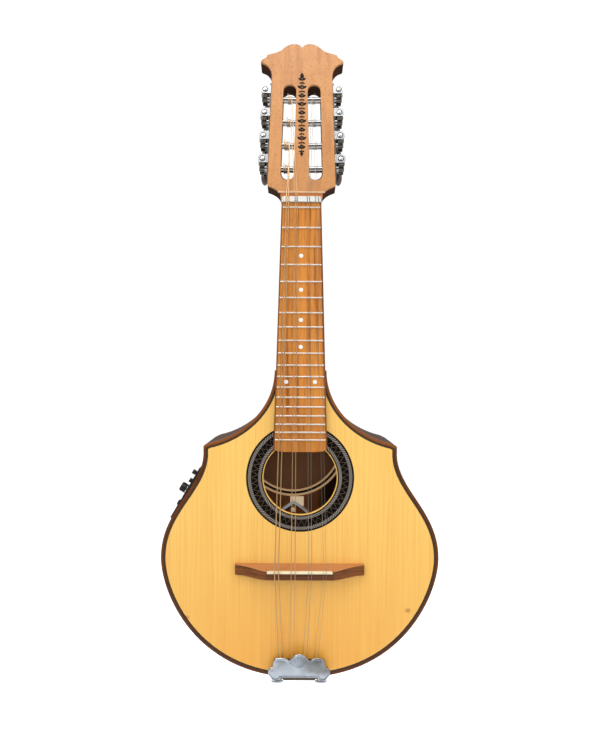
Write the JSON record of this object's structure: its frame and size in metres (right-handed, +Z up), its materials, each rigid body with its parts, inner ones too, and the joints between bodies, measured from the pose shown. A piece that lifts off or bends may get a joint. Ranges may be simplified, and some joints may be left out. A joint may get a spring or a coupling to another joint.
{
  "type": "acoustic-electric mandolin",
  "caption": "Flat-top mandolin with a slotted headstock, paired strings over a floating bridge, and a preamp panel in its side.",
  "frame": {"origin": "on the centre line under the middle of the nut, in the plane of the soundboard's outer face", "axes": "+Z up the neck towards the headstock, -Y out of the soundboard (front), bass strings at -X"},
  "size_m": [0.274, 0.0923, 0.6498],
  "materials": {
    "spruce": "clear satin varnish",
    "walnut": "clear satin varnish",
    "cedar": "clear satin varnish",
    "veneer": "clear satin varnish",
    "rosewood": "oiled",
    "bridge_wood": "oiled",
    "binding": "clear satin varnish",
    "lining": "bare",
    "brace_spruce": "bare",
    "rosette_inlay": "inlaid, varnished",
    "bone": "polished bone",
    "chrome": "plated",
    "string_steel": "plain wire",
    "string_bronze": "wound wire",
    "black_plastic": "moulded",
    "battery_case": "plain, unmarked",
    "brass": "plain disc"
  },
  "bodies": {
    "instrument": {"back_plate": "walnut", "binding_back": "binding", "binding_top": "binding", "brace_back_lower": "brace_spruce", "brace_back_upper": "brace_spruce", "brace_top_lower": "brace_spruce", "brace_top_upper": "brace_spruce", "bridge": "bridge_wood", "fretboard": "rosewood", "headstock_veneer": "veneer", "lining_back": "lining", "lining_top": "lining", "neck": "cedar", "neck_block": "cedar", "nut": "bone", "output_jack": "chrome", "output_lead": "black_plastic", "pickup_lead": "black_plastic", "piezo_pickup": "brass", "preamp_housing": "black_plastic", "rib_bass": "walnut", "rib_treble": "walnut", "rosette": "rosette_inlay", "saddle": "bone", "soundboard": "spruce", "string_a_inner": "string_steel", "string_a_outer": "string_steel", "string_d_inner": "string_bronze", "string_d_outer": "string_bronze", "string_e_inner": "string_steel", "string_e_outer": "string_steel", "string_g_inner": "string_bronze", "string_g_outer": "string_bronze", "tail_block": "cedar", "tailpiece_base": "chrome", "tuner_plate_bass": "chrome", "tuner_plate_treble": "chrome"},
    "key_bass_1": {"key_bass_1": "chrome"},
    "post_bass_1": {"post_bass_1": "chrome"},
    "key_bass_2": {"key_bass_2": "chrome"},
    "post_bass_2": {"post_bass_2": "chrome"},
    "key_bass_3": {"key_bass_3": "chrome"},
    "post_bass_3": {"post_bass_3": "chrome"},
    "key_bass_4": {"key_bass_4": "chrome"},
    "post_bass_4": {"post_bass_4": "chrome"},
    "key_treble_1": {"key_treble_1": "chrome"},
    "post_treble_1": {"post_treble_1": "chrome"},
    "key_treble_2": {"key_treble_2": "chrome"},
    "post_treble_2": {"post_treble_2": "chrome"},
    "key_treble_3": {"key_treble_3": "chrome"},
    "post_treble_3": {"post_treble_3": "chrome"},
    "key_treble_4": {"key_treble_4": "chrome"},
    "post_treble_4": {"post_treble_4": "chrome"},
    "knob_volume": {"knob_volume": "black_plastic"},
    "knob_bass": {"knob_bass": "black_plastic"},
    "knob_treble": {"knob_treble": "black_plastic"},
    "push_button": {"push_button": "black_plastic"},
    "battery_tray": {"battery": "battery_case", "battery_tray": "black_plastic"},
    "tailpiece_cover": {"tailpiece_cover": "chrome"}
  },
  "joints": [
    {"name": "key_bass_1_turn", "type": "hinge", "parent": "instrument", "child": "key_bass_1", "pos_m": [-0.03891, 0.00327, 0.04396], "axis": [0, 0.9903, -0.1392], "continuous": true},
    {"name": "post_bass_1_turn", "type": "hinge", "parent": "instrument", "child": "post_bass_1", "pos_m": [-0.03311, 0.00764, 0.03479], "axis": [0.9997, -0.0033, -0.0238], "continuous": true},
    {"name": "key_bass_2_turn", "type": "hinge", "parent": "instrument", "child": "key_bass_2", "pos_m": [-0.03831, 0.00675, 0.06871], "axis": [0, 0.9903, -0.1392], "continuous": true},
    {"name": "post_bass_2_turn", "type": "hinge", "parent": "instrument", "child": "post_bass_2", "pos_m": [-0.03251, 0.01111, 0.05954], "axis": [0.9997, -0.0033, -0.0238], "continuous": true},
    {"name": "key_bass_3_turn", "type": "hinge", "parent": "instrument", "child": "key_bass_3", "pos_m": [-0.03771, 0.01023, 0.09346], "axis": [0, 0.9903, -0.1392], "continuous": true},
    {"name": "post_bass_3_turn", "type": "hinge", "parent": "instrument", "child": "post_bass_3", "pos_m": [-0.03191, 0.01459, 0.08429], "axis": [0.9997, -0.0033, -0.0238], "continuous": true},
    {"name": "key_bass_4_turn", "type": "hinge", "parent": "instrument", "child": "key_bass_4", "pos_m": [-0.03711, 0.01371, 0.11821], "axis": [0, 0.9903, -0.1392], "continuous": true},
    {"name": "post_bass_4_turn", "type": "hinge", "parent": "instrument", "child": "post_bass_4", "pos_m": [-0.03131, 0.01807, 0.10904], "axis": [0.9997, -0.0033, -0.0238], "continuous": true},
    {"name": "key_treble_1_turn", "type": "hinge", "parent": "instrument", "child": "key_treble_1", "pos_m": [0.03891, 0.00327, 0.04396], "axis": [0, 0.9903, -0.1392], "continuous": true},
    {"name": "post_treble_1_turn", "type": "hinge", "parent": "instrument", "child": "post_treble_1", "pos_m": [0.03311, 0.00764, 0.03479], "axis": [0.9997, 0.0033, 0.0238], "continuous": true},
    {"name": "key_treble_2_turn", "type": "hinge", "parent": "instrument", "child": "key_treble_2", "pos_m": [0.03831, 0.00675, 0.06871], "axis": [0, 0.9903, -0.1392], "continuous": true},
    {"name": "post_treble_2_turn", "type": "hinge", "parent": "instrument", "child": "post_treble_2", "pos_m": [0.03251, 0.01111, 0.05954], "axis": [0.9997, 0.0033, 0.0238], "continuous": true},
    {"name": "key_treble_3_turn", "type": "hinge", "parent": "instrument", "child": "key_treble_3", "pos_m": [0.03771, 0.01023, 0.09346], "axis": [0, 0.9903, -0.1392], "continuous": true},
    {"name": "post_treble_3_turn", "type": "hinge", "parent": "instrument", "child": "post_treble_3", "pos_m": [0.03191, 0.01459, 0.08429], "axis": [0.9997, 0.0033, 0.0238], "continuous": true},
    {"name": "key_treble_4_turn", "type": "hinge", "parent": "instrument", "child": "key_treble_4", "pos_m": [0.03711, 0.01371, 0.11821], "axis": [0, 0.9903, -0.1392], "continuous": true},
    {"name": "post_treble_4_turn", "type": "hinge", "parent": "instrument", "child": "post_treble_4", "pos_m": [0.03131, 0.01807, 0.10904], "axis": [0.9997, 0.0033, 0.0238], "continuous": true},
    {"name": "knob_volume_turn", "type": "hinge", "parent": "instrument", "child": "knob_volume", "pos_m": [-0.11664, 0.028, -0.29025], "axis": [-0.8625, 0, 0.5061], "range_deg": [-140, 140]},
    {"name": "knob_bass_turn", "type": "hinge", "parent": "instrument", "child": "knob_bass", "pos_m": [-0.11279, 0.036, -0.28369], "axis": [-0.8625, 0, 0.5061], "range_deg": [-140, 140]},
    {"name": "knob_treble_turn", "type": "hinge", "parent": "instrument", "child": "knob_treble", "pos_m": [-0.10692, 0.028, -0.27369], "axis": [-0.8625, 0, 0.5061], "range_deg": [-140, 140]},
    {"name": "push_button_press", "type": "slide", "parent": "instrument", "child": "push_button", "axis": [0.8625, 0, -0.5061], "range_m": [0, 0.0012], "stiffness_N_per_m": 400},
    {"name": "battery_tray_slide", "type": "slide", "parent": "instrument", "child": "battery_tray", "axis": [-0.8625, 0, 0.5061], "range_m": [0, 0.045]},
    {"name": "tailpiece_cover_slide", "type": "slide", "parent": "instrument", "child": "tailpiece_cover", "axis": [0, 0, -1], "range_m": [0, 0.022]}
  ],
  "couplings": [
    {"joint": "post_bass_1_turn", "follows": "key_bass_1_turn", "ratio": 0.071429},
    {"joint": "post_bass_2_turn", "follows": "key_bass_2_turn", "ratio": 0.071429},
    {"joint": "post_bass_3_turn", "follows": "key_bass_3_turn", "ratio": 0.071429},
    {"joint": "post_bass_4_turn", "follows": "key_bass_4_turn", "ratio": 0.071429},
    {"joint": "post_treble_1_turn", "follows": "key_treble_1_turn", "ratio": 0.071429},
    {"joint": "post_treble_2_turn", "follows": "key_treble_2_turn", "ratio": 0.071429},
    {"joint": "post_treble_3_turn", "follows": "key_treble_3_turn", "ratio": 0.071429},
    {"joint": "post_treble_4_turn", "follows": "key_treble_4_turn", "ratio": 0.071429}
  ]
}
